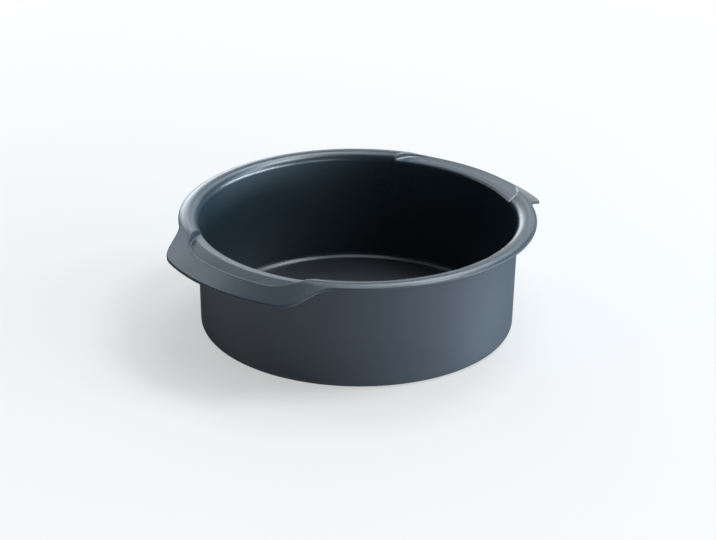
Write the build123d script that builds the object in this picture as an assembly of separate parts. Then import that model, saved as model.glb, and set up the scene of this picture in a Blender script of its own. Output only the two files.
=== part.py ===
from build123d import *
import os
from math import asin, atan, atan2, cos, degrees, radians, sin, sqrt, tan

# A deep round cake tin of coated sheet steel, with two pressed handles and a loose base.
# Millimetres and degrees. The origin is the centre of the underside, +Z is up, and the
# handles lie along X. Each bend in the sheet is named by the radius on its inside.

# The sheet that both pieces are pressed from
sheet = 0.8

# The wall, measured on its outer face, and its bend into the foot ledge
tin_height = 75.0
foot_radius = 100.0
wall_flare = 1.9
foot_bend = 3.9

# The rim: the wall bends out into a rounded crown, then a sloping flange with a rolled edge
rim_bend = 4.7
crown_bend = 8.2
crown_inner_slope = 24.0
flange_slope = 31.5
rim_flat_width = 0.4
edge_bend = 0.4
edge_drop = 0.6

# The handles: the same flange, reaching further out between two slanting sides
handle_reach = 14.8
handle_width = 109.4
handle_side_spread = 9.3
handle_corner_radius = 22.0
handle_foot_radius = 26.0

# The thumb recess pressed into each handle: a lip beside the cake, and a floor that falls outwards
recess_depth = 3.2
recess_bend = 1.2
recess_lip_width = 4.3
recess_lip_slope = 4.5
recess_floor_slope = 7.5
recess_riser_slant = 33.0
recess_end_margin = 11.7
recess_side_spread = 11.0
recess_corner_radius = 26.0
recess_margin = 0.8

# The loose base: a flat disc with a raised lip round its edge, seated on the foot ledge
base_clearance = 0.5
base_step_width = 3.6
base_lip_rise = 1.7
base_lip_flat = 0.8
base_bend = 0.4
base_seat_width = 2.7
edge_round_share = 0.375

# How far a cutting solid reaches past what it cuts
overrun = 6.0

# Radii on the outside of the bends
foot_radius_outside = foot_bend + sheet
rim_radius_outside = rim_bend + sheet
crown_radius_outside = crown_bend + sheet
edge_radius_outside = edge_bend + sheet
recess_radius_outside = recess_bend + sheet
base_radius_outside = base_bend + sheet

wall_lean = degrees(atan(wall_flare / tin_height))

# The widths of a handle at its foot, and of its recess at the tip and beside the wall
handle_foot_width = handle_width + 2 * handle_side_spread
recess_tip_width = handle_width - 2 * recess_end_margin
recess_width = recess_tip_width + 2 * recess_side_spread


def polar(radius, angle):
    """A point, or a direction when the radius is 1, at this angle."""
    return Vector(cos(radians(angle)), sin(radians(angle))) * radius


def off_wall(distance, height):
    """The point of the section this high that lies this far outside the wall's inner face."""
    lean = radians(wall_lean)
    return Vector(foot_radius + (distance - sheet + height * sin(lean)) / cos(lean), height)


# The middle of the bend between the wall and the foot ledge, as radius and height
foot_middle = Vector(
    foot_radius - foot_radius_outside * tan(radians(90 - wall_lean) / 2), foot_radius_outside
)

# The bend at the top of the wall runs on into the crown without a kink
rim_bend_width = rim_radius_outside * (1 - sin(radians(crown_inner_slope + wall_lean)))
crown_fall_inside = crown_radius_outside * (1 - cos(radians(crown_inner_slope)))
crown_inner_end = off_wall(rim_bend_width, tin_height - crown_fall_inside)
rim_middle = crown_inner_end - polar(rim_radius_outside, 90 + crown_inner_slope)
crown_middle = crown_inner_end - polar(crown_radius_outside, 90 + crown_inner_slope)

# The flange and its edge, at the rim and at the handles
flange_start = crown_middle + polar(crown_radius_outside, 90 - flange_slope)
flange_fall = tan(radians(flange_slope))
edge_roll_run = edge_radius_outside * tan(radians(90 - flange_slope) / 2)
edge_depth = edge_drop + edge_roll_run
rim_edge_radius = flange_start.X + rim_flat_width + edge_roll_run * cos(radians(flange_slope))
handle_edge_radius = rim_edge_radius + handle_reach
far_radius = handle_edge_radius + overrun

# The recess: a bend out of the wall, the lip up to a ridge, and the floor down to the flange
recess_ridge_height = tin_height - recess_depth
recess_lip_rise = recess_lip_width * tan(radians(recess_lip_slope))
recess_bend_fall = recess_radius_outside * cos(radians(recess_lip_slope))
recess_middle = off_wall(recess_radius_outside, recess_ridge_height - recess_lip_rise - recess_bend_fall)
recess_lip_start = recess_middle + polar(recess_radius_outside, 90 + recess_lip_slope)
recess_ridge = recess_lip_start + Vector(recess_lip_width, recess_lip_rise)
floor_fall = tan(radians(recess_floor_slope))
crease_run = (flange_start.Y - recess_ridge.Y + (flange_start.X - recess_ridge.X) * flange_fall) / (
    flange_fall - floor_fall
)
recess_tip_radius = recess_ridge.X + crease_run + recess_margin

# The base clears the foot bend at the height of its lip, and the ledge reaches in under it
lip_under_height = sheet + base_lip_rise
lip_below_bend = max(foot_middle.Y - lip_under_height, 0)
base_radius = foot_middle.X + sqrt(foot_bend**2 - lip_below_bend**2) - base_clearance
lip_start_radius = base_radius - base_lip_flat - base_step_width
ledge_opening_radius = lip_start_radius - base_seat_width


def turned(line):
    """The solid that a closed section sweeps round the tin's axis, with its seam off the handles."""
    section = make_face(Plane.XZ * line)
    return Rot(0, 0, 90) * revolve(section, Axis.Z)


def under_skin(depth, start_radius, bottom):
    """All that lies under the tin's upper face, this deep in the sheet."""
    foot = CenterArc(foot_middle, foot_bend + depth, -90, 90 - wall_lean)
    bend = CenterArc(
        rim_middle, rim_radius_outside - depth, 180 - wall_lean, crown_inner_slope + wall_lean - 90
    )
    crown = CenterArc(
        crown_middle,
        crown_radius_outside - depth,
        90 + crown_inner_slope,
        -crown_inner_slope - flange_slope,
    )
    run = far_radius - (crown @ 1).X
    flange_end = (crown @ 1) + Vector(run, -run * flange_fall)
    foot_start = Vector(start_radius, sheet - depth)
    line = Curve() + [
        Line(foot_start, foot @ 0),
        foot,
        Line(foot @ 1, bend @ 0),
        bend,
        crown,
        Polyline(
            crown @ 1,
            flange_end,
            Vector(far_radius, bottom),
            Vector(start_radius, bottom),
            foot_start,
        ),
    ]
    return turned(line)


def disc(radius):
    """A round plan area whose seam lies off the handles."""
    return Rot(0, 0, 90) * Circle(radius)


def wedge(middle, start, end):
    """A plan area between two slanting sides, from one radius and width past another."""
    near, far = [], []
    for side in (-1, 1):
        first, last = [
            polar(radius, middle + side * degrees(asin(width / 2 / radius)))
            for radius, width in (start, end)
        ]
        side_line = last - first
        near.append(first - side_line.normalized() * overrun)
        far.append(last + side_line)
    return make_face(Polyline(near[0], far[0], far[1], near[1], close=True))


def corners_at(plan, radius):
    """The corners of a plan that lie this far from the tin's axis, without the disc's seam."""
    return [
        corner
        for corner in plan.vertices()
        if abs(Vector(corner).length - radius) < sheet / 10 and abs(corner.X) > overrun
    ]


def tin_outline():
    """The tin's outline in plan: the round rim with a handle at each side."""
    plan = disc(rim_edge_radius)
    start = (rim_edge_radius, handle_foot_width)
    end = (handle_edge_radius, handle_width)
    for middle in (0, 180):
        plan += disc(handle_edge_radius) & wedge(middle, start, end)
    plan = fillet(corners_at(plan, handle_edge_radius), handle_corner_radius)
    return fillet(corners_at(plan, rim_edge_radius), handle_foot_radius)


def recess_plan(middle):
    """The recess in plan: open towards the cake, with rounded outer corners."""
    start = (foot_radius - sheet, recess_width)
    end = (recess_tip_radius, recess_tip_width)
    plan = disc(recess_tip_radius) & wedge(middle, start, end)
    return fillet(corners_at(plan, recess_tip_radius), recess_corner_radius)


def prism(plan, bottom):
    """A plan area raised from this height to above the tin."""
    return extrude(Pos(0, 0, bottom) * plan, tin_height + overrun - bottom)


def over_recess_floor(depth):
    """All that lies over the recess's lip and floor and its bend into the wall, this deep in the sheet."""
    turn = 90 + recess_lip_slope - wall_lean
    bend = CenterArc(recess_middle, recess_radius_outside - depth, 180 - wall_lean, turn - 180)
    fold = (recess_lip_slope + recess_floor_slope) / 2
    ridge = recess_ridge - polar(depth / cos(radians(fold)), 90 + recess_lip_slope - fold)
    run = far_radius - ridge.X
    low_inside = Vector(ledge_opening_radius - overrun, (bend @ 0).Y)
    line = Curve() + [
        bend,
        Polyline(
            bend @ 1,
            ridge,
            ridge + Vector(run, -run * floor_fall),
            Vector(far_radius, tin_height + overrun),
            Vector(low_inside.X, tin_height + overrun),
            low_inside,
            bend @ 0,
        ),
    ]
    return turned(line)


def recesses(depth):
    """The space of both recesses between their slanting risers, this deep in the sheet."""
    ends = []
    for middle in (0, 180):
        plan = recess_plan(middle)
        if depth:
            plan = offset(plan, depth / cos(radians(recess_riser_slant)))
        middle_plan = Pos(0, 0, tin_height - recess_depth / 2) * plan
        ends += [
            extrude(middle_plan, overrun, taper=-recess_riser_slant),
            extrude(middle_plan, -overrun, taper=recess_riser_slant),
        ]
    return over_recess_floor(depth) & (Part() + ends)


def under_edge():
    """All that lies below the lower end of the rolled edge."""
    start = Vector(flange_start.X, flange_start.Y - edge_depth)
    run = far_radius + overrun - start.X
    line = Polyline(
        start,
        start + Vector(run, -run * flange_fall),
        Vector(start.X + run, -2 * overrun),
        Vector(start.X, -2 * overrun),
        close=True,
    )
    return turned(line)


def rolled(body, depth):
    """Rounds the outer edge of the flange, where it turns down."""
    start = flange_start - polar(depth, 90 - flange_slope)
    flange = body.faces().filter_by(GeomType.CONE).sort_by(Axis.Z)[-1]
    outer = [edge for edge in flange.edges() if max((edge @ 0).Z, (edge @ 1).Z) < start.Y - sheet / 10]
    return fillet(outer, edge_radius_outside - depth)


def tin_shell():
    """The pressed body: foot ledge, wall, rim and both handles in one sheet."""
    outline = tin_outline()
    inside_edge = prism(offset(outline, -sheet), -2 * overrun)
    outer = under_skin(0, ledge_opening_radius, -overrun) & prism(outline, -overrun)
    inner = under_skin(sheet, ledge_opening_radius - overrun, -2 * overrun) & inside_edge
    outer = rolled(outer, 0) - recesses(0)
    inner = rolled(inner, sheet) - recesses(sheet)
    return outer - inner - (under_edge() - inside_edge)


def loose_base():
    """The disc that the cake stands on, resting on the foot ledge."""
    panel_top = 2 * sheet
    lip_top = panel_top + base_lip_rise
    step_end_radius = lip_start_radius + base_step_width
    mitre = sheet * tan(atan2(base_lip_rise, base_step_width) / 2)
    corners = [
        Vector(0, panel_top),
        Vector(lip_start_radius, panel_top),
        Vector(step_end_radius, lip_top),
        Vector(base_radius, lip_top),
        Vector(base_radius, lip_under_height),
        Vector(step_end_radius + mitre, lip_under_height),
        Vector(lip_start_radius + mitre, sheet),
        Vector(0, sheet),
    ]
    section = make_face(Polyline(*corners, close=True))

    def at(*wanted):
        return [
            vertex
            for vertex in section.vertices()
            if any((Vector(vertex) - corners[number]).length < sheet / 10 for number in wanted)
        ]

    section = fillet(at(2, 6), base_radius_outside)
    section = fillet(at(1, 5), base_bend)
    section = fillet(at(3, 4), edge_round_share * sheet)
    return revolve(Plane.XZ * section, Axis.Z)


os.makedirs("parts", exist_ok=True)
for name, piece in (("tin_shell", tin_shell()), ("loose_base", loose_base())):
    export_step(piece, f"parts/{name}.step")
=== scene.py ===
from math import cos, pi, radians, sin, tau

import bpy
from mathutils import Matrix, Vector


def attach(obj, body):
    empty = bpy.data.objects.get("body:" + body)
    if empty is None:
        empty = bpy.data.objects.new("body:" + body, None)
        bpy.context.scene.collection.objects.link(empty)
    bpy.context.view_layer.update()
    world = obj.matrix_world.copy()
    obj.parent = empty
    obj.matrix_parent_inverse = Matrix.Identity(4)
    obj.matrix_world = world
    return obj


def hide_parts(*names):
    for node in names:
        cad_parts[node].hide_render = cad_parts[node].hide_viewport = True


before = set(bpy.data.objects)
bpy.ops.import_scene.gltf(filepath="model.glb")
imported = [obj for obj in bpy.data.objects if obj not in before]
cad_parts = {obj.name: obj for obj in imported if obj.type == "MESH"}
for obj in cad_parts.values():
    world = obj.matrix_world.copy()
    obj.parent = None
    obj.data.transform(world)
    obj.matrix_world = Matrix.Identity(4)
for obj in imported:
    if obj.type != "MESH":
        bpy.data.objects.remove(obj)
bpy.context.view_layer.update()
scene = bpy.context.scene


# The tin: one sheet of steel pressed into a deep round body, with a ledge left at its foot
# and a flange turned over at its rim. The flange runs out into a handle at each side. All of it
# has a dark, slightly grained non-stick coating, baked on. Its inside is given darker tones than
# its outside: painted shade in the hollow of the tin, on one and the same coating.

mm = 0.001

tin_sizes = {
    "Sheet": 0.8 * mm,
    "Tin height": 75 * mm,
    "Foot radius": 100 * mm,
    "Wall flare": 1.9 * mm,
    "Foot bend": 3.9 * mm,
    "Ledge opening": 91.04 * mm,
    "Rim bend": 4.7 * mm,
    "Crown bend": 8.2 * mm,
    "Crown inner slope": radians(24),
    "Flange slope": radians(31.5),
    "Rim flat width": 0.4 * mm,
    "Edge bend": 0.4 * mm,
    "Edge drop": 0.6 * mm,
    "Handle reach": 14.8 * mm,
    "Handle width": 109.4 * mm,
    "Handle side spread": 9.3 * mm,
    "Handle corner": 22 * mm,
    "Handle foot round": 26 * mm,
    "Recess depth": 3.2 * mm,
    "Recess bend": 1.2 * mm,
    "Lip width": 4.3 * mm,
    "Lip slope": radians(4.5),
    "Floor slope": radians(7.5),
    "Riser slant": radians(33),
    "Recess end margin": 11.7 * mm,
    "Recess side spread": 11 * mm,
    "Recess corner": 26 * mm,
    "Recess margin": 0.8 * mm,
    "Ridge softness": 0.25 * mm,
    "Riser foot softness": 1.1 * mm,
    "Riser edge softness": 1.1 * mm,
}

# Rows of the sheet across each run of its section, from the ledge to the rolled edge
ledge_rows, foot_rows, wall_rows, bend_rows, crown_rows, roll_rows, drop_rows = 1, 6, 3, 6, 20, 5, 1
# The flange's rows lie closest where the recess's floor meets it: rows, and their share of its width
flange_stretches = ((8, 0.22), (16, 0.24), (8, 0.54))
# Columns round a quarter of the tin, closest at the recess's end: columns, and the turn they cover
quarter_stretches = ((8, radians(9)), (96, radians(24)), (10, radians(8)), (34, radians(49)))


class Measure:
    """A number that nodes work out at every point of a pressed sheet."""

    def __init__(self, tree, socket):
        self.tree = tree
        self.socket = socket

    def reckon(self, operation, *others):
        node = self.tree.nodes.new("ShaderNodeMath")
        node.operation = operation
        for place, value in zip(node.inputs, (self, *others)):
            if isinstance(value, Measure):
                self.tree.links.new(value.socket, place)
            else:
                place.default_value = value
        return Measure(self.tree, node.outputs[0])

    def __add__(self, other):
        return self.reckon("ADD", other)

    def __sub__(self, other):
        return self.reckon("SUBTRACT", other)

    def __mul__(self, other):
        return self.reckon("MULTIPLY", other)

    def __truediv__(self, other):
        return self.reckon("DIVIDE", other)

    def __radd__(self, other):
        return self + other

    def __rsub__(self, other):
        return self * -1 + other

    def __rmul__(self, other):
        return self * other

    def held(self, low=0, high=1):
        return self.reckon("MAXIMUM", low).reckon("MINIMUM", high)

    def above(self, other):
        return self.reckon("GREATER_THAN", other)

    def sin(self):
        return self.reckon("SINE")

    def cos(self):
        return self.reckon("COSINE")

    def tan(self):
        return self.reckon("TANGENT")

    def atan(self):
        return self.reckon("ARCTANGENT")

    def root(self):
        return self.reckon("MAXIMUM", 0).reckon("SQRT")


def either(first, second, where):
    """The first measure where the mask is 1, and the second where it is 0."""
    return second + (first - second) * where


def dot(one, other):
    return one[0] * other[0] + one[1] * other[1]


def length(pair):
    return dot(pair, pair).root()


def sized_tree(name, sizes):
    """An empty tree with a named input for each size, and those inputs as measures."""
    tree = bpy.data.node_groups.new(name, "GeometryNodeTree")
    tree.is_modifier = True
    tree.interface.new_socket(name="Geometry", in_out="OUTPUT", socket_type="NodeSocketGeometry")
    for size in sizes:
        tree.interface.new_socket(name=size, in_out="INPUT", socket_type="NodeSocketFloat")
    given = tree.nodes.new("NodeGroupInput")
    return tree, {size: Measure(tree, given.outputs[size]) for size in sizes}


def flat_sheet(tree, columns, rows):
    """A flat grid to be pressed, with each point's column and row."""
    grid = tree.nodes.new("GeometryNodeMeshGrid")
    grid.inputs["Size X"].default_value = 1
    grid.inputs["Size Y"].default_value = 1
    grid.inputs["Vertices X"].default_value = columns + 1
    grid.inputs["Vertices Y"].default_value = rows + 1
    place = tree.nodes.new("GeometryNodeInputPosition")
    parts = tree.nodes.new("ShaderNodeSeparateXYZ")
    tree.links.new(place.outputs[0], parts.inputs[0])
    column, row = [
        ((Measure(tree, parts.outputs[axis]) + 0.5) * count).reckon("ROUND")
        for axis, count in (("X", columns), ("Y", rows))
    ]
    return grid.outputs["Mesh"], column, row


def shares(place, counts):
    """How far along each run a row or column lies: 0 before the run, and 1 past it."""
    found, first = [], 0
    for count in counts:
        found.append(((place - first) / count).held())
        first += count
    return found


seam_gap = 0.002 * mm


def press(tree, sheet, point, material, edge=None, edge_material=None):
    """Moves the flat sheet's points into shape, closes its seam and gives it its finishes."""
    gather = tree.nodes.new("ShaderNodeCombineXYZ")
    for measure, place in zip(point, gather.inputs):
        tree.links.new(measure.socket, place)
    chosen = tree.nodes.new("GeometryNodeCaptureAttribute")
    chosen.domain = "FACE"
    chosen.capture_items.new("FLOAT", "Edge")
    tree.links.new(sheet, chosen.inputs["Geometry"])
    move = tree.nodes.new("GeometryNodeSetPosition")
    tree.links.new(gather.outputs[0], move.inputs["Position"])
    seam = tree.nodes.new("GeometryNodeMergeByDistance")
    seam.inputs["Distance"].default_value = seam_gap
    upwards = tree.nodes.new("GeometryNodeFlipFaces")
    smooth = tree.nodes.new("GeometryNodeSetShadeSmooth")
    real = tree.nodes.new("GeometryNodeRealizeInstances")
    coat = tree.nodes.new("GeometryNodeSetMaterial")
    coat.inputs["Material"].default_value = material
    edge_coat = tree.nodes.new("GeometryNodeSetMaterial")
    edge_coat.inputs["Material"].default_value = edge_material or material
    if edge:
        tree.links.new(edge.socket, chosen.inputs["Edge"])
    tree.links.new(chosen.outputs["Edge"], edge_coat.inputs["Selection"])
    done = tree.nodes.new("NodeGroupOutput")
    chain = [chosen, move, seam, upwards, smooth, real, coat, edge_coat, done]
    for earlier, later in zip(chain, chain[1:]):
        tree.links.new(earlier.outputs[0], later.inputs[0])


def pressed(name, tree, sizes):
    """The piece that a tree makes with these sizes, as a plain mesh."""
    piece = bpy.data.objects.new(name, bpy.data.meshes.new(name))
    scene.collection.objects.link(piece)
    pressing = piece.modifiers.new("pressing", "NODES")
    pressing.node_group = tree
    for socket in tree.interface.items_tree:
        if socket.in_out == "INPUT":
            pressing[socket.identifier] = sizes[socket.name]
    seen = piece.evaluated_get(bpy.context.evaluated_depsgraph_get())
    shape = bpy.data.meshes.new_from_object(seen)
    piece.modifiers.remove(pressing)
    piece.data = shape
    return piece


# The coating's texture: the size of each part and its fineness, how far it changes the tone and the
# gloss, and its share of the relief
coat_parts = {"Grain size": 0.45 * mm, "Peel size": 3.5 * mm, "Cloud size": 60 * mm}
coat_detail = {"Grain size": 2, "Peel size": 1, "Cloud size": 3}
grain_tone, cloud_tone = 1.4, 1.2
grain_gloss, cloud_gloss = 0.25, 0.12
grain_relief, peel_relief = 0.5, 0.4


def coat_texture():
    """The coating's own texture: a fine grain, a faint orange peel, and slow changes of tone."""
    tree = bpy.data.node_groups.new("coat texture", "ShaderNodeTree")
    for name in coat_parts:
        tree.interface.new_socket(name=name, in_out="INPUT", socket_type="NodeSocketFloat")
    for name in ("Grain", "Height", "Cloud"):
        tree.interface.new_socket(name=name, in_out="OUTPUT", socket_type="NodeSocketFloat")
    given = tree.nodes.new("NodeGroupInput")
    done = tree.nodes.new("NodeGroupOutput")
    place = tree.nodes.new("ShaderNodeTexCoord")
    found = {}
    for name, detail in coat_detail.items():
        noise = tree.nodes.new("ShaderNodeTexNoise")
        noise.inputs["Detail"].default_value = detail
        tree.links.new(place.outputs["Object"], noise.inputs["Vector"])
        scale = Measure(tree, given.outputs[name]).reckon("POWER", -1)
        tree.links.new(scale.socket, noise.inputs["Scale"])
        found[name] = Measure(tree, noise.outputs["Fac"])
    height = found["Grain size"] * grain_relief + found["Peel size"] * peel_relief
    tree.links.new(found["Grain size"].socket, done.inputs["Grain"])
    tree.links.new(height.socket, done.inputs["Height"])
    tree.links.new(found["Cloud size"].socket, done.inputs["Cloud"])
    return tree


coat_tree = coat_texture()


def coating(name, dark, light, roughness, glance_dulling, relief, gloss_index=1.7):
    """A baked non-stick coating over steel, between two near tones, duller where seen at a glance."""
    material = bpy.data.materials.new(name)
    material.use_nodes = True
    tree = material.node_tree
    shader = tree.nodes["Principled BSDF"]
    texture = tree.nodes.new("ShaderNodeGroup")
    texture.node_tree = coat_tree
    for part, part_size in coat_parts.items():
        texture.inputs[part].default_value = part_size
    grain = Measure(tree, texture.outputs["Grain"])
    cloud = Measure(tree, texture.outputs["Cloud"])
    tone = ((grain - 0.5) * grain_tone + (cloud - 0.5) * cloud_tone + 0.5).held()
    mix = tree.nodes.new("ShaderNodeMix")
    mix.data_type = "RGBA"
    mix.inputs["A"].default_value = (*dark, 1)
    mix.inputs["B"].default_value = (*light, 1)
    tree.links.new(tone.socket, mix.inputs["Factor"])
    tree.links.new(mix.outputs["Result"], shader.inputs["Base Color"])
    side_on = tree.nodes.new("ShaderNodeLayerWeight")
    side_on.inputs["Blend"].default_value = 0.5
    glance = Measure(tree, side_on.outputs["Facing"]).reckon("POWER", 2)
    uneven = (grain - 0.5) * grain_gloss + (cloud - 0.5) * cloud_gloss
    dull = uneven + glance * glance_dulling + roughness
    tree.links.new(dull.socket, shader.inputs["Roughness"])
    dent = tree.nodes.new("ShaderNodeBump")
    dent.inputs["Strength"].default_value = 1
    dent.inputs["Distance"].default_value = relief
    tree.links.new(texture.outputs["Height"], dent.inputs["Height"])
    tree.links.new(dent.outputs["Normal"], shader.inputs["Normal"])
    shader.inputs["IOR"].default_value = gloss_index
    return material


# The inside's tones are darker than the outside's: painted shade inside the tin, on the same coating.
inside_coat_and_painted_shade = coating(
    "inside_coat_and_painted_shade",
    dark=(0.014, 0.024, 0.032),
    light=(0.022, 0.038, 0.050),
    roughness=0.31,
    glance_dulling=0,
    relief=0.02 * mm,
)
outside_finish = coating(
    "outside_finish",
    dark=(0.026, 0.034, 0.043),
    light=(0.044, 0.056, 0.071),
    roughness=0.4,
    glance_dulling=0.8,
    relief=0.03 * mm,
    gloss_index=1.4,
)

tin_columns = 4 * sum(columns for columns, turn in quarter_stretches)
flange_rows = [rows for rows, share in flange_stretches]
inner_rows = [ledge_rows, foot_rows, wall_rows, bend_rows, crown_rows]
section_rows = inner_rows + flange_rows + [roll_rows, drop_rows]
tin_tree, size = sized_tree("pressed tin", tin_sizes)
tin_sheet, column, row = flat_sheet(tin_tree, tin_columns, sum(section_rows))
on_ledge, on_foot, on_wall, on_bend, on_crown, *on_flanges, on_roll, on_drop = shares(row, section_rows)
on_flange = sum(part * share for part, (rows, share) in zip(on_flanges, flange_stretches))
half_row = 0.5
past_wall = row.above(ledge_rows + foot_rows + wall_rows + half_row)
past_flange = row.above(sum(inner_rows + flange_rows) + half_row)

# The direction of each column, as its share outwards along the handle and across it
from_handle = column.reckon("PINGPONG", tin_columns / 4)
on_quarter = shares(from_handle, [columns for columns, turn in quarter_stretches])
turn = sum(part * turn for part, (columns, turn) in zip(on_quarter, quarter_stretches))
ray = (turn.cos(), turn.sin())
handle_side = (column * (tau / tin_columns)).cos().reckon("SIGN")
cross_side = (column * (tau / tin_columns)).sin().reckon("SIGN")

# The section of wall, rim and flange, as radius and height
lean = (size["Wall flare"] / size["Tin height"]).atan()
foot_outside = size["Foot bend"] + size["Sheet"]
rim_outside = size["Rim bend"] + size["Sheet"]
crown_outside = size["Crown bend"] + size["Sheet"]
edge_outside = size["Edge bend"] + size["Sheet"]
recess_outside = size["Recess bend"] + size["Sheet"]


def off_wall(distance, height):
    """The radius at this height that lies this far outside the wall's inner face."""
    return size["Foot radius"] + (distance - size["Sheet"] + height * lean.sin()) / lean.cos()


foot_r = size["Foot radius"] - foot_outside * ((pi / 2 - lean) / 2).tan()
foot_z = foot_outside
crown_in_z = size["Tin height"] - crown_outside * (1 - size["Crown inner slope"].cos())
crown_in_r = off_wall(rim_outside * (1 - (size["Crown inner slope"] + lean).sin()), crown_in_z)
rim_r = crown_in_r + rim_outside * size["Crown inner slope"].sin()
rim_z = crown_in_z - rim_outside * size["Crown inner slope"].cos()
crown_r = crown_in_r + crown_outside * size["Crown inner slope"].sin()
crown_z = size["Tin height"] - crown_outside
flange_r = crown_r + crown_outside * size["Flange slope"].sin()
flange_z = crown_z + crown_outside * size["Flange slope"].cos()
flange_fall = size["Flange slope"].tan()
wall_top_r = rim_r - rim_outside * lean.cos()
wall_top_z = rim_z + rim_outside * lean.sin()

# The outer edge of the rim and of the handles
edge_run = edge_outside * ((pi / 2 - size["Flange slope"]) / 2).tan()
edge_depth = size["Edge drop"] + edge_run
rim_edge = flange_r + size["Rim flat width"] + edge_run * size["Flange slope"].cos()
handle_edge = rim_edge + size["Handle reach"]


def side_line(near_radius, near_half, far_radius, far_half):
    """A slanting side in plan: its direction outwards, its normal, and its distance from the axis."""
    near = ((near_radius * near_radius - near_half * near_half).root(), near_half)
    far = ((far_radius * far_radius - far_half * far_half).root(), far_half)
    run = (far[0] - near[0], far[1] - near[1])
    along = (run[0] / length(run), run[1] / length(run))
    normal = (along[1] * -1, along[0])
    return along, normal, dot(near, normal)


def corner_middle(side, off_side, off_axis):
    """The middle of a rounded corner, this far past a side and this far from the axis."""
    along, normal, distance = side
    past = distance + off_side
    run = (off_axis * off_axis - past * past).root()
    return (normal[0] * past + along[0] * run, normal[1] * past + along[1] * run)


def reach_to_circle(middle, radius, way):
    """How far out a column's ray meets a circle, on its far side or its near side."""
    off = middle[0] * ray[1] - middle[1] * ray[0]
    return dot(middle, ray) + (radius * radius - off * off).root() * way


handle_half = size["Handle width"] / 2
handle_foot_half = handle_half + size["Handle side spread"]
handle_line = side_line(rim_edge, handle_foot_half, handle_edge, handle_half)
corner = corner_middle(handle_line, size["Handle corner"] * -1, handle_edge - size["Handle corner"])
foot_round = corner_middle(
    handle_line, size["Handle foot round"], rim_edge + size["Handle foot round"]
)


def past_point(middle, normal, way, radius):
    """1 where a column's ray lies beyond the point at which a rounded corner ends."""
    point = (middle[0] + normal[0] * radius * way, middle[1] + normal[1] * radius * way)
    return (point[0] * ray[1] - point[1] * ray[0]).above(0)


def outward(middle):
    return (middle[0] / length(middle), middle[1] / length(middle))


corner_reach = reach_to_circle(corner, size["Handle corner"], 1)
side_reach = handle_line[2] / dot(handle_line[1], ray)
foot_reach = reach_to_circle(foot_round, size["Handle foot round"], -1)
in_corner = past_point(corner, outward(corner), 1, size["Handle corner"])
on_side = past_point(corner, handle_line[1], 1, size["Handle corner"])
in_foot = past_point(foot_round, handle_line[1], -1, size["Handle foot round"])
on_rim = past_point(foot_round, outward(foot_round), -1, size["Handle foot round"])
edge_reach = either(corner_reach, handle_edge, in_corner)
edge_reach = either(side_reach, edge_reach, on_side)
edge_reach = either(foot_reach, edge_reach, in_foot)
edge_reach = either(rim_edge, edge_reach, on_rim)
edge = (ray[0] * edge_reach, ray[1] * edge_reach)
edge_normal = []
for axis in (0, 1):
    facing = either((edge[axis] - corner[axis]) / size["Handle corner"], ray[axis], in_corner)
    facing = either(handle_line[1][axis], facing, on_side)
    facing = either((foot_round[axis] - edge[axis]) / size["Handle foot round"], facing, in_foot)
    edge_normal.append(either(ray[axis], facing, on_rim))

# The roll of the edge, from the flange's own slope there down to upright
edge_slope = (flange_fall * dot(edge_normal, ray)).atan()
roll_turn = (pi / 2 - edge_slope) * (1 - on_roll)
roll_in = edge_outside * (1 - roll_turn.cos())
edge_z = flange_z - (edge_reach - flange_r) * flange_fall
roll_middle_z = edge_z + edge_outside * (edge_slope.sin() - 1) / edge_slope.cos()
roll_z = roll_middle_z + edge_outside * roll_turn.sin()
roll_z = roll_z - (roll_middle_z - edge_z + edge_depth) * on_drop

# Each point of the sheet in plan
foot_turn = (pi / 2 - lean) * on_foot
foot_end_r = foot_r + size["Foot bend"] * lean.cos()
foot_end_z = foot_z - size["Foot bend"] * lean.sin()
radius = size["Ledge opening"] + (foot_r - size["Ledge opening"]) * on_ledge
radius = radius + size["Foot bend"] * foot_turn.sin()
radius = radius + (wall_top_r - foot_end_r) * on_wall
radius = radius + recess_outside * (1 - (on_bend * (pi / 2)).cos())
radius = radius + (flange_r - wall_top_r - recess_outside) * on_crown
plan = [
    ray[axis] * radius + (edge[axis] - edge_normal[axis] * roll_in - ray[axis] * radius) * on_flange
    for axis in (0, 1)
]
reach = length(plan)


def arc_height(radius_of_bend, off):
    return (radius_of_bend * radius_of_bend - off * off).root()


# The height of the plain rim there
bend_z = rim_z + arc_height(rim_outside, reach - rim_r)
crown_top_z = crown_z + arc_height(crown_outside, reach - crown_r)
slope_z = flange_z - (reach - flange_r) * flange_fall
plain_z = either(crown_top_z, bend_z, reach.above(crown_in_r))
plain_z = either(slope_z, plain_z, reach.above(flange_r))

# The height of the thumb recess there: a bend, a lip up to a ridge, and a floor falling outwards
ridge_z = size["Tin height"] - size["Recess depth"]
lip_rise = size["Lip width"] * size["Lip slope"].tan()
recess_z = ridge_z - lip_rise - recess_outside * size["Lip slope"].cos()
recess_r = off_wall(recess_outside, recess_z)
lip_r = recess_r - recess_outside * size["Lip slope"].sin()
ridge_r = lip_r + size["Lip width"]
lip_z = ridge_z + (reach - ridge_r) * size["Lip slope"].tan()
floor_z = ridge_z - (reach - ridge_r) * size["Floor slope"].tan()
pressed_z = lip_z.reckon("SMOOTH_MIN", floor_z, size["Ridge softness"])
recess_bend_z = recess_z + arc_height(recess_outside, reach - recess_r)
pressed_z = either(pressed_z, recess_bend_z, reach.above(lip_r))

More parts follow.
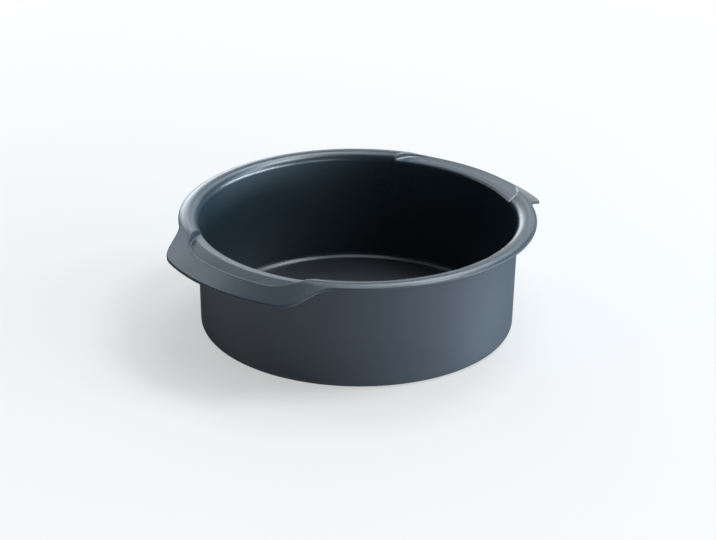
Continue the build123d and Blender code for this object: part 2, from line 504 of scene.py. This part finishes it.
# The recess's plan, and the riser that slants up from it to the rim's crown
crease_run = (flange_z - ridge_z + (flange_r - ridge_r) * flange_fall) / (
    flange_fall - size["Floor slope"].tan()
)
recess_tip = ridge_r + crease_run + size["Recess margin"]
recess_half = handle_half - size["Recess end margin"]
recess_line = side_line(
    size["Foot radius"] - size["Sheet"],
    recess_half + size["Recess side spread"],
    recess_tip,
    recess_half,
)
recess_corner = corner_middle(
    recess_line, size["Recess corner"] * -1, recess_tip - size["Recess corner"]
)
from_corner = (plan[0] - recess_corner[0], plan[1] - recess_corner[1])
corner_out = outward(recess_corner)
in_recess_corner = dot(from_corner, recess_line[0]).above(0) * (
    corner_out[0] * from_corner[1] - corner_out[1] * from_corner[0]
).above(0)
outside = (dot(plan, recess_line[1]) - recess_line[2]).reckon("MAXIMUM", reach - recess_tip)
outside = either(length(from_corner) - size["Recess corner"], outside, in_recess_corner)
riser_z = size["Tin height"] - size["Recess depth"] / 2 + outside / size["Riser slant"].tan()
cut_z = pressed_z.reckon("SMOOTH_MAX", riser_z, size["Riser foot softness"])
rim_top_z = plain_z.reckon("SMOOTH_MIN", cut_z, size["Riser edge softness"])

wall_z = foot_z - size["Foot bend"] * foot_turn.cos() + (wall_top_z - foot_end_z) * on_wall
height = either(rim_top_z, wall_z, past_wall)
height = either(roll_z, height, past_flange)
tin_point = (plan[0] * handle_side, plan[1] * cross_side, height)
press(tin_tree, tin_sheet, tin_point, inside_coat_and_painted_shade, past_flange, outside_finish)

tin = pressed("tin_body", tin_tree, tin_sizes)
thick = tin.modifiers.new("sheet", "SOLIDIFY")
thick.thickness = tin_sizes["Sheet"]
thick.offset = -1
thick.material_offset = 1
thick.material_offset_rim = 1
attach(tin, "tin")
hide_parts("tin_shell")


# The loose base: a flat disc of the same coated sheet, with a lip raised round its edge. It
# rests on the ledge inside the foot, and is pushed up to take the cake out. Its tones are darker
# still than the tin's inside: painted shade at the bottom of the tin.

base_sizes = {
    "Sheet": 0.8 * mm,
    "Base radius": 98.14 * mm,
    "Lip width": 4.4 * mm,
    "Lip rise": 1.7 * mm,
    "Step width": 3.6 * mm,
    "Edge round": 0.3 * mm,
}
panel_rows, step_rows, lip_rows, edge_rows = 24, 6, 4, 4
base_rows = (panel_rows, step_rows, lip_rows, edge_rows)
base_columns = 240

# The base's tones are darker than the tin's inside: painted shade on the floor of the tin, on the same
# coating.
base_coat_and_painted_shade = coating(
    "base_coat_and_painted_shade",
    dark=(0.007, 0.009, 0.011),
    light=(0.012, 0.014, 0.018),
    roughness=0.33,
    glance_dulling=0.45,
    relief=0.02 * mm,
)
base_tree, size = sized_tree("turned base", base_sizes)
base_sheet, column, row = flat_sheet(base_tree, base_columns, sum(base_rows))
on_panel, on_step, on_lip, on_edge = shares(row, base_rows)
base_turn = column * (tau / base_columns)
lip_start = size["Base radius"] - size["Lip width"]
radius = lip_start * on_panel + size["Step width"] * on_step
radius = radius + (size["Lip width"] - size["Step width"] - size["Edge round"]) * on_lip
radius = radius + size["Edge round"] * (on_edge * (pi / 2)).sin()
rise = size["Lip rise"] * (1 - (on_step * pi).cos()) / 2
height = size["Sheet"] * 2 + rise - size["Edge round"] * (1 - (on_edge * (pi / 2)).cos())
press(base_tree, base_sheet, (radius * base_turn.cos(), radius * base_turn.sin(), height), base_coat_and_painted_shade)

base = pressed("cake_base", base_tree, base_sizes)
thick = base.modifiers.new("sheet", "SOLIDIFY")
thick.thickness = base_sizes["Sheet"]
thick.offset = -1
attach(base, "base")
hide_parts("loose_base")


# The table: a wide pale sheet that the tin stands on, plain and matt, with the tin's soft shadow and a
# painted shade round the tin where less white is mixed in.

floor_half = 4.0
table_colour = (0.69, 0.665, 0.65, 1)
table_roughness = 0.8
table_shine = 0.2
# Where the white begins, from which middle, over what distance, and how much of it lies near the tin
white_start = 0.16
white_middle = (0.05, 0.05)
white_run = 0.5
white_nearby = 0.5

floor_mesh = bpy.data.meshes.new("table")
floor_mesh.from_pydata(
    [
        (-floor_half, -floor_half, 0),
        (floor_half, -floor_half, 0),
        (floor_half, floor_half, 0),
        (-floor_half, floor_half, 0),
    ],
    [],
    [(0, 1, 2, 3)],
)
table = bpy.data.objects.new("table", floor_mesh)
scene.collection.objects.link(table)
table_paint = bpy.data.materials.new("table_paint")
table_paint.use_nodes = True
paint_tree = table_paint.node_tree
paint_shader = paint_tree.nodes["Principled BSDF"]
paint_shader.inputs["Base Color"].default_value = table_colour
paint_shader.inputs["Roughness"].default_value = table_roughness
paint_shader.inputs["Specular IOR Level"].default_value = table_shine
floor_mesh.materials.append(table_paint)

# Away from the tin the table goes over into the white backdrop, for the camera and in reflections;
# close to the tin less of the white is mixed in, which paints the table darker round the tin, on top of
# its real shadow.
white = paint_tree.nodes.new("ShaderNodeEmission")
place = paint_tree.nodes.new("ShaderNodeTexCoord")
parts = paint_tree.nodes.new("ShaderNodeSeparateXYZ")
paint_tree.links.new(place.outputs["Object"], parts.inputs[0])
spot = [
    Measure(paint_tree, parts.outputs[axis]) - middle
    for axis, middle in zip(("X", "Y"), white_middle)
]
fade = ((length(spot) - white_start) / white_run).held()
seen_by = paint_tree.nodes.new("ShaderNodeLightPath")
in_camera = Measure(paint_tree, seen_by.outputs["Is Camera Ray"])
in_gloss = Measure(paint_tree, seen_by.outputs["Is Glossy Ray"])
through_glass = Measure(paint_tree, seen_by.outputs["Is Transmission Ray"])
seen = (in_camera + in_gloss + through_glass).held()
share_white = seen * (white_nearby + fade * (1 - white_nearby))
mix = paint_tree.nodes.new("ShaderNodeMixShader")
paint_tree.links.new(share_white.socket, mix.inputs[0])
paint_tree.links.new(paint_shader.outputs[0], mix.inputs[1])
paint_tree.links.new(white.outputs[0], mix.inputs[2])
paint_tree.links.new(mix.outputs[0], paint_tree.nodes["Material Output"].inputs["Surface"])


# The camera: a long lens from the front, a little above the rim, turned by a hair.

camera_turn = radians(-46.2)
camera_rise = radians(24.18)
camera_distance = 1.7103
camera_roll = 0.0106
aim = Vector((0, 0, 0.0342))
lens = bpy.data.cameras.new("camera")
lens.sensor_width = 36
lens.lens = 134.4
lens.shift_x = 0.0012
lens.shift_y = 0.00135
camera = bpy.data.objects.new("camera", lens)
scene.collection.objects.link(camera)
back = Vector(
    (sin(camera_turn) * cos(camera_rise), -cos(camera_turn) * cos(camera_rise), sin(camera_rise))
)
camera.rotation_mode = "QUATERNION"
turned = (-back).to_track_quat("-Z", "Y").to_matrix().to_4x4() @ Matrix.Rotation(camera_roll, 4, "Z")
camera.matrix_world = Matrix.Translation(aim + back * camera_distance) @ turned
scene.camera = camera


# The light: soft lamps on stands round the table, most of it from the right and from behind, as
# in a small studio. Each is given by its rise and by its turn from the camera's far side, to the
# right, both in degrees, with its power in watts and its tint.

lamp_distance = 3


def lamp(name, rise, turn, power, red, green, width=1, tall=1):
    """A soft lamp aimed at the tin from this height and side, its blue at 1."""
    light = bpy.data.lights.new(name, "AREA")
    light.shape = "RECTANGLE"
    light.size = width
    light.size_y = tall
    light.energy = power
    light.color = (red, green, 1)
    holder = bpy.data.objects.new(name, light)
    scene.collection.objects.link(holder)
    side = camera_turn - radians(turn)
    lift = radians(rise)
    away = Vector((-sin(side) * cos(lift), cos(side) * cos(lift), sin(lift)))
    holder.location = away * lamp_distance
    holder.rotation_mode = "QUATERNION"
    holder.rotation_quaternion = away.to_track_quat("Z", "Y")


lamp("right_low", 3, 94, 160, 0.76, 0.88, width=2.4, tall=0.6)
lamp("right_front", 3, 120, 50, 0.76, 0.88)
lamp("front", 10, 150, 14, 0.76, 0.88)
lamp("right", 35, 90, 24, 0.76, 0.91)
lamp("right_high", 60, 90, 50, 0.82, 0.92)
lamp("back_high", 60, 30, 22, 0.88, 0.95)
lamp("overhead", 85, 0, 11, 0.8, 0.9)
lamp("left", 42, -60, 8, 0.78, 0.89)
lamp("left_high", 60, -60, 2.4, 0.78, 0.89)
lamp("left_low", 25, -45, 8, 0.78, 0.89)
lamp("back", 22, 3, 5.5, 0.84, 0.92)
lamp("back_top", 60, 0, 8, 0.8, 0.91)
lamp("back_low", 13, -15, 19, 0.8, 0.91)
lamp("back_right", 42, 30, 8, 0.78, 0.92)
lamp("back_right_low", 20, 22, 5, 0.8, 0.91)

room_light = 0.01
room = bpy.data.worlds.new("room")
scene.world = room
room.use_nodes = True
room.node_tree.nodes["Background"].inputs["Color"].default_value = (1, 1, 1, 1)
room.node_tree.nodes["Background"].inputs["Strength"].default_value = room_light

scene.view_settings.view_transform = "Standard"
